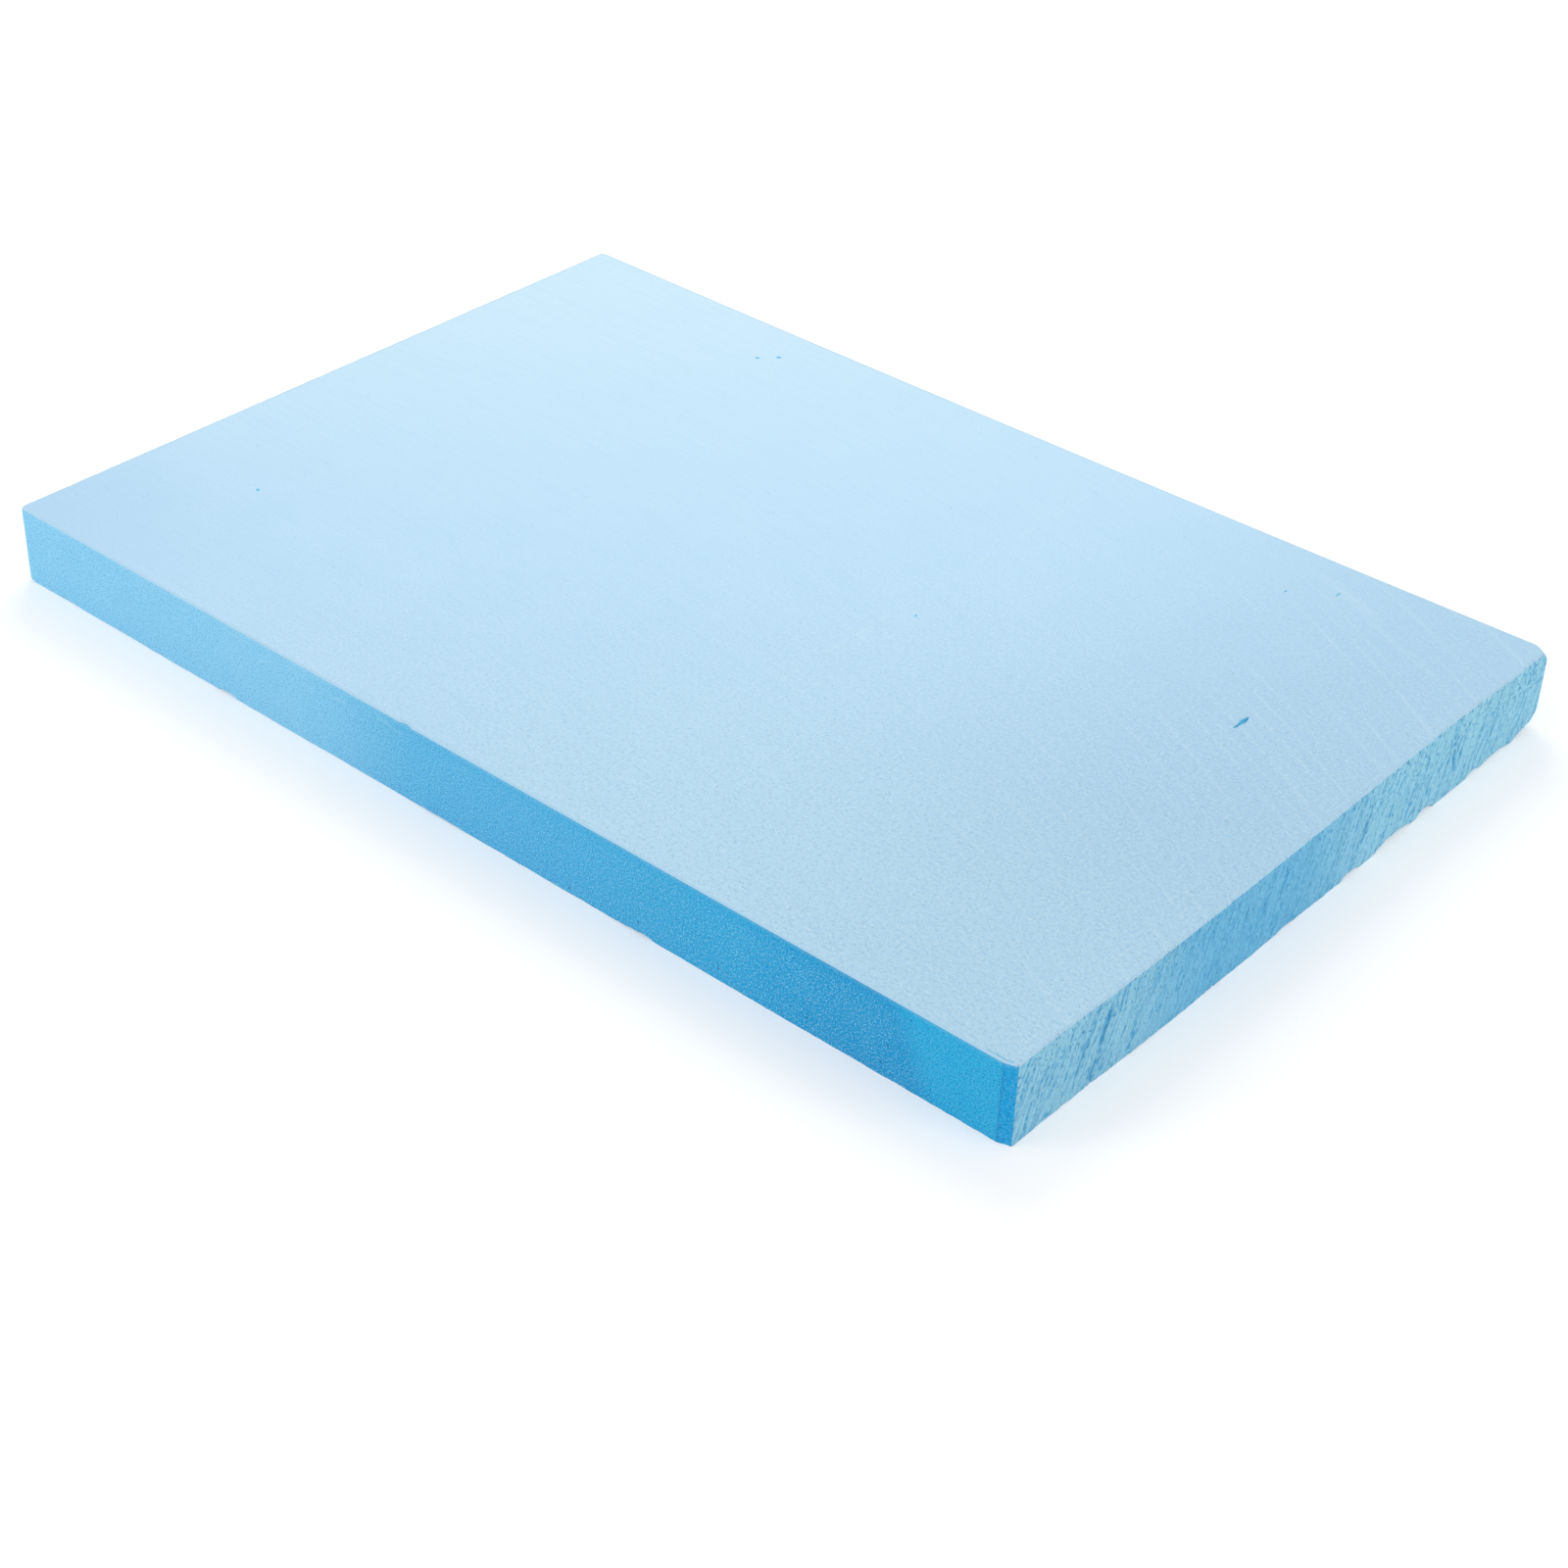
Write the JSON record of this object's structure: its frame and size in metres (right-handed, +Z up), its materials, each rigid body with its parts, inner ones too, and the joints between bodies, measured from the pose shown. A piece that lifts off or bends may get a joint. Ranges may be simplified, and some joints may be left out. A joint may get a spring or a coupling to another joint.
{
  "type": "foam sheet",
  "caption": "Flat rectangular sheet of rigid extruded foam with smooth skins, clean-cut long sides and a rough-sawn end, for cutting, carving, modelling or insulating.",
  "frame": {"origin": "middle of the sheet's footprint, on its lower skin", "axes": "+X along the sheet towards the torn sawn end, +Y across the sheet from its front long side to its back one, +Z up from the lower skin to the upper skin"},
  "size_m": [0.3, 0.2, 0.02],
  "materials": {
    "foam": "matt blue closed-cell foam, pale smooth skins, deeper blue on the cut faces, torn grain on the sawn end"
  },
  "bodies": {
    "root": {"foam_sheet": "foam"}
  },
  "joints": []
}
